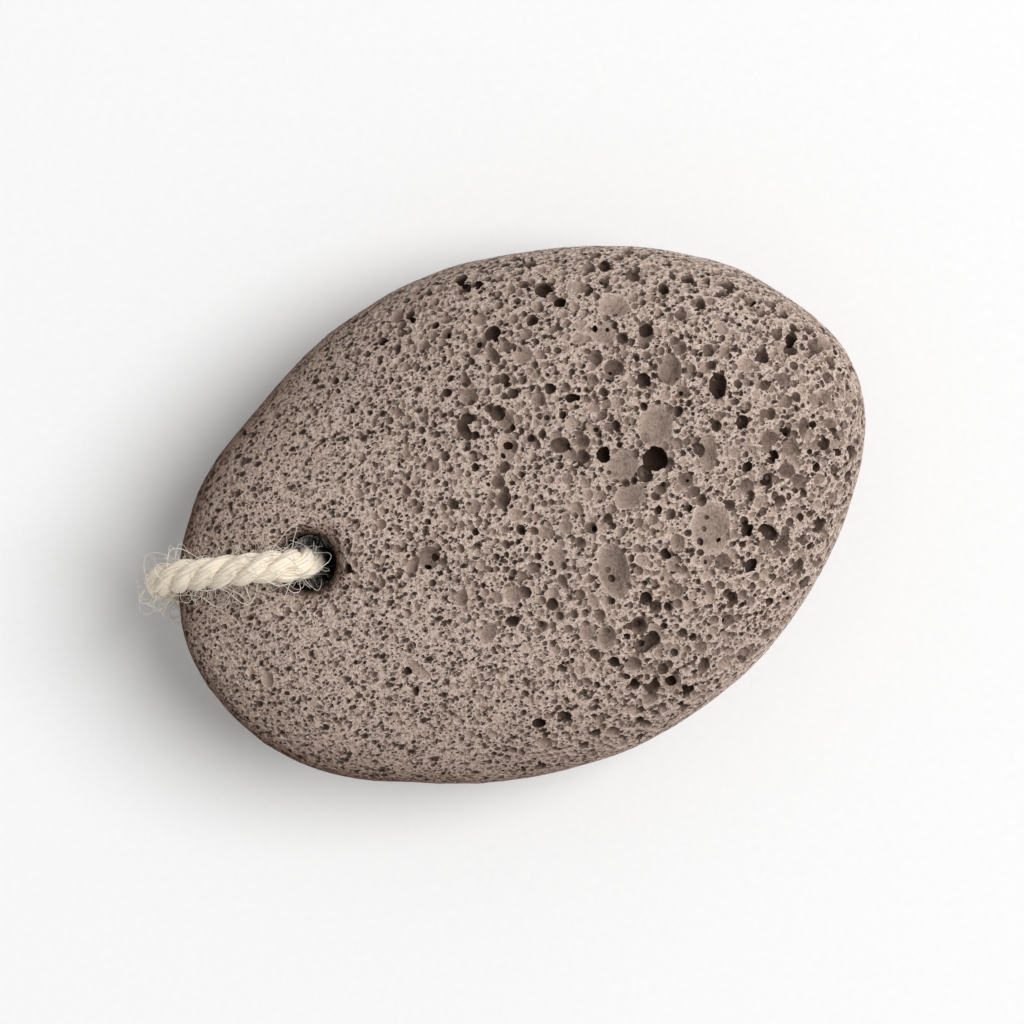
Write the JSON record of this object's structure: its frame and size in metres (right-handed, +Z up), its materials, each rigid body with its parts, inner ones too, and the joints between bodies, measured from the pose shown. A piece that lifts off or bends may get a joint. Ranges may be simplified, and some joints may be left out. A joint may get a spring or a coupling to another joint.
{
  "type": "pumice foot stone",
  "caption": "Egg-shaped pumice foot stone, drilled near its narrow end, with a twisted cord tied through the hole and round the tip.",
  "frame": {"origin": "on the surface the stone rests on, under the middle of the stone's own box", "axes": "+X along the stone from the narrow drilled tip to the wide end, +Y across it, +Z up"},
  "size_m": [0.1017, 0.0712, 0.0326],
  "materials": {
    "pumice": "rough open-celled volcanic pumice, grey-brown, tumbled",
    "rope": "soft three-strand twisted natural fibre, cream, hairy"
  },
  "bodies": {
    "root": {"pumice_stone": "pumice", "rope_loop": "rope", "rope_knot": "rope"}
  },
  "joints": []
}
